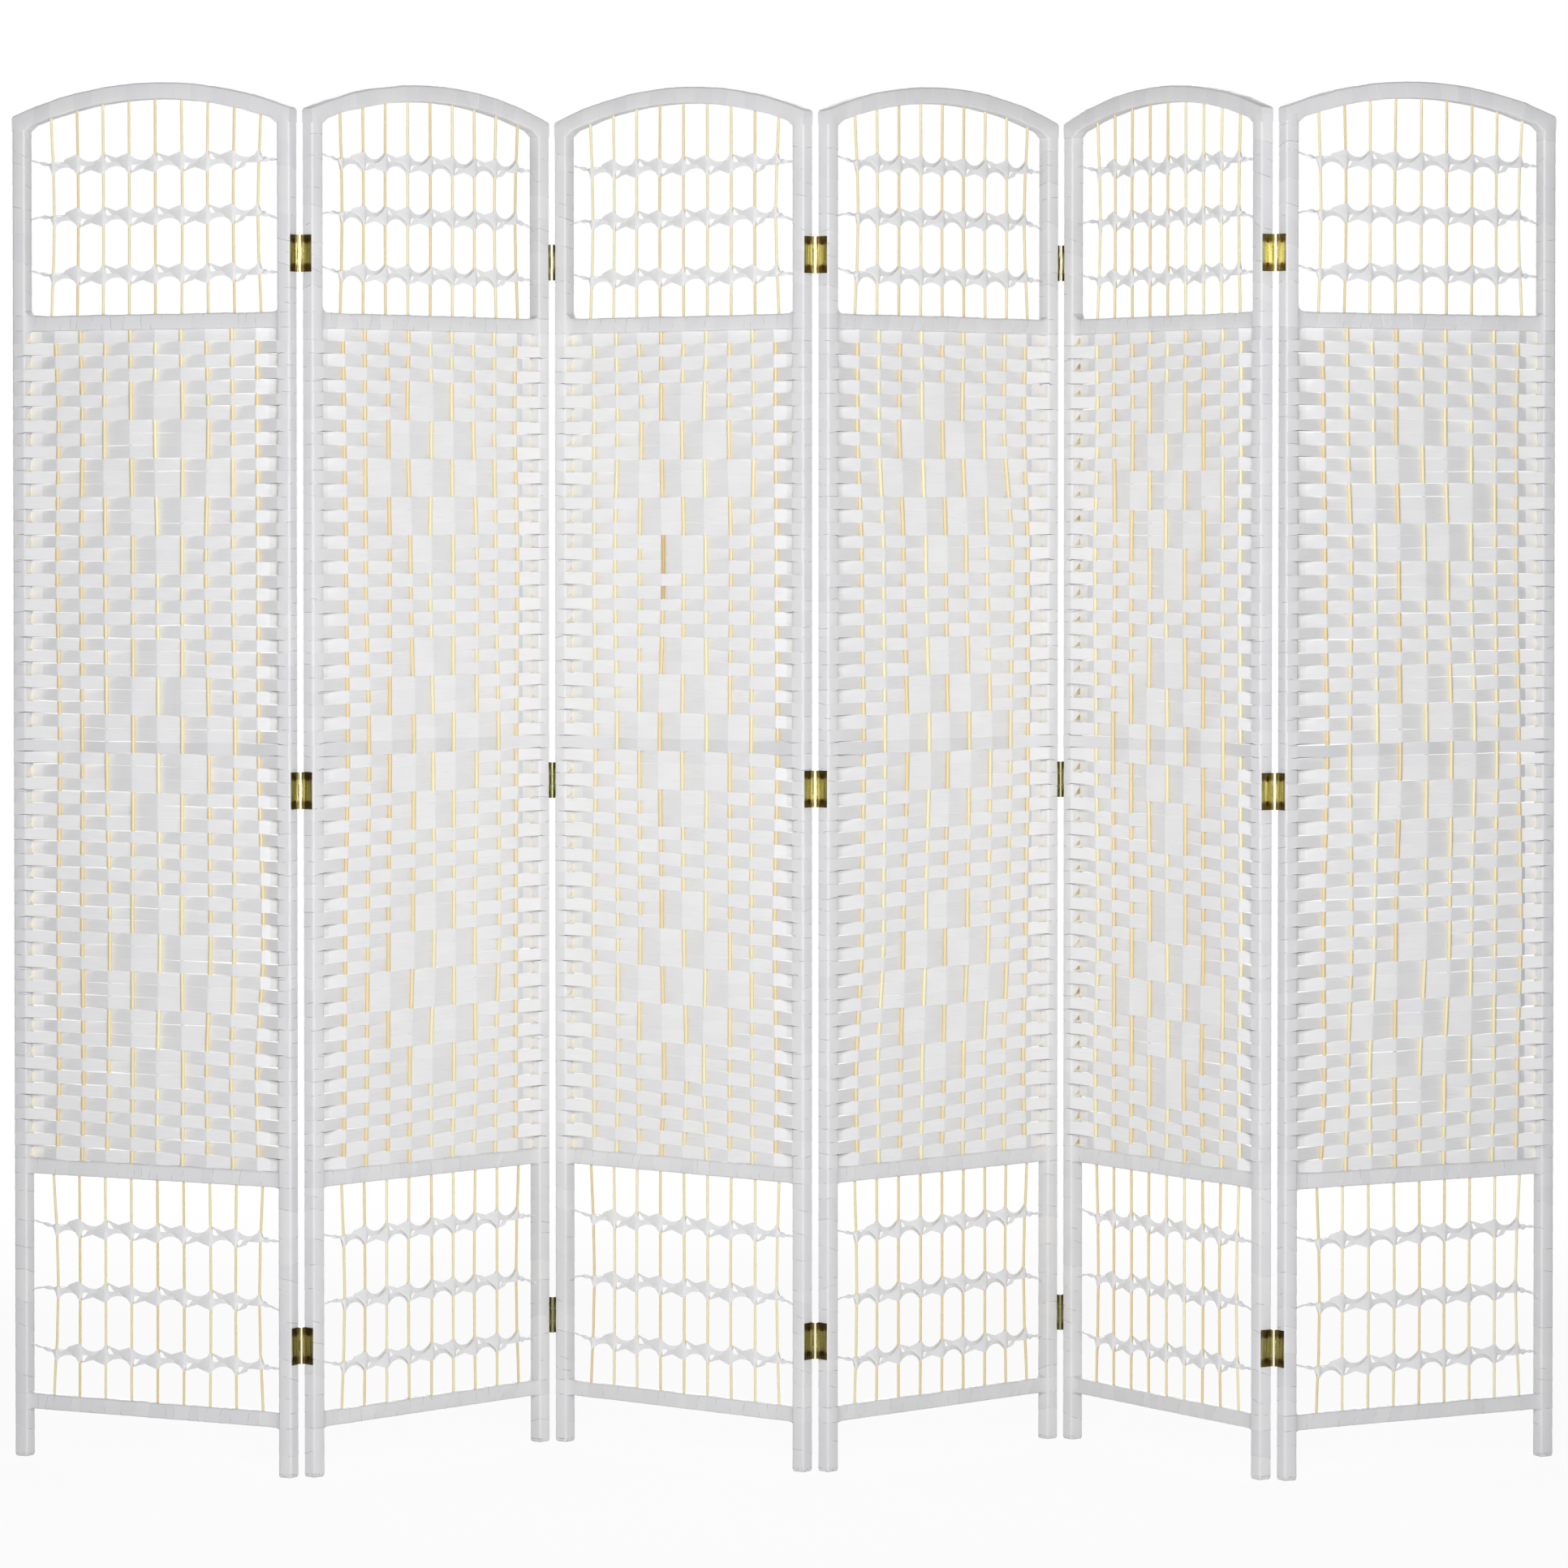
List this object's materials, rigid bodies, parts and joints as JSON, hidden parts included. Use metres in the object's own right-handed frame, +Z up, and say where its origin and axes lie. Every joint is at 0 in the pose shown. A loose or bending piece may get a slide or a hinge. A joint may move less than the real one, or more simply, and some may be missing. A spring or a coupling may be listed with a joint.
{
  "type": "folding room divider",
  "caption": "Free-standing folding screen of hinged arched panels, with paper-wrapped frames, woven paper-strip fields over upright reeds, and tied openwork above and below.",
  "frame": {"origin": "on the floor, under the middle of the screen's box as it stands open", "axes": "+X along the screen to the right, +Y to its back, +Z up"},
  "size_m": [1.9116, 0.3517, 1.7],
  "materials": {
    "paper_wrap": "wood bar wound with white paper strip, matt",
    "paper_strip": "creased white paper strip, matt",
    "reed": "peeled yellow reed, satin",
    "brass": "brass-plated steel, polished"
  },
  "bodies": {
    "panel_1": {"panel_1_stiles": "paper_wrap", "panel_1_top_arch": "paper_wrap", "panel_1_cross_rails": "paper_wrap", "panel_1_reeds": "reed", "panel_1_weft_strips": "paper_strip", "panel_1_lattice_ties": "paper_strip", "panel_1_hinge_screws": "brass", "hinge_1_2_left_leaves": "brass", "hinge_1_2_pins": "brass"},
    "panel_2": {"panel_2_stiles": "paper_wrap", "panel_2_top_arch": "paper_wrap", "panel_2_cross_rails": "paper_wrap", "panel_2_reeds": "reed", "panel_2_weft_strips": "paper_strip", "panel_2_lattice_ties": "paper_strip", "panel_2_hinge_screws": "brass", "hinge_1_2_right_leaves": "brass", "hinge_2_3_left_leaves": "brass", "hinge_2_3_pins": "brass"},
    "panel_3": {"panel_3_stiles": "paper_wrap", "panel_3_top_arch": "paper_wrap", "panel_3_cross_rails": "paper_wrap", "panel_3_reeds": "reed", "panel_3_weft_strips": "paper_strip", "panel_3_lattice_ties": "paper_strip", "panel_3_hinge_screws": "brass", "hinge_2_3_right_leaves": "brass", "hinge_3_4_left_leaves": "brass", "hinge_3_4_pins": "brass"},
    "panel_4": {"panel_4_stiles": "paper_wrap", "panel_4_top_arch": "paper_wrap", "panel_4_cross_rails": "paper_wrap", "panel_4_reeds": "reed", "panel_4_weft_strips": "paper_strip", "panel_4_lattice_ties": "paper_strip", "panel_4_hinge_screws": "brass", "hinge_3_4_right_leaves": "brass", "hinge_4_5_left_leaves": "brass", "hinge_4_5_pins": "brass"},
    "panel_5": {"panel_5_stiles": "paper_wrap", "panel_5_top_arch": "paper_wrap", "panel_5_cross_rails": "paper_wrap", "panel_5_reeds": "reed", "panel_5_weft_strips": "paper_strip", "panel_5_lattice_ties": "paper_strip", "panel_5_hinge_screws": "brass", "hinge_4_5_right_leaves": "brass", "hinge_5_6_left_leaves": "brass", "hinge_5_6_pins": "brass"},
    "panel_6": {"panel_6_stiles": "paper_wrap", "panel_6_top_arch": "paper_wrap", "panel_6_cross_rails": "paper_wrap", "panel_6_reeds": "reed", "panel_6_weft_strips": "paper_strip", "panel_6_lattice_ties": "paper_strip", "panel_6_hinge_screws": "brass", "hinge_5_6_right_leaves": "brass"}
  },
  "joints": [
    {"name": "fold_1_2", "type": "hinge", "parent": "panel_2", "child": "panel_1", "pos_m": [-0.58717, -0.13917, 0], "axis": [0, 0, -1], "range_deg": [-72.8, 107.2]},
    {"name": "fold_2_3", "type": "hinge", "parent": "panel_3", "child": "panel_2", "pos_m": [-0.2921, 0.13966, 0], "axis": [0, 0, 1], "range_deg": [-84.9, 95.1]},
    {"name": "fold_3_4", "type": "hinge", "parent": "panel_3", "child": "panel_4", "pos_m": [0.03849, -0.09596, 0], "axis": [0, 0, 1], "range_deg": [-81.3, 98.7]},
    {"name": "fold_4_5", "type": "hinge", "parent": "panel_4", "child": "panel_5", "pos_m": [0.35048, 0.16378, 0], "axis": [0, 0, -1], "range_deg": [-98.8, 81.2]},
    {"name": "fold_5_6", "type": "hinge", "parent": "panel_5", "child": "panel_6", "pos_m": [0.59492, -0.16034, 0], "axis": [0, 0, 1], "range_deg": [-85, 95]}
  ]
}
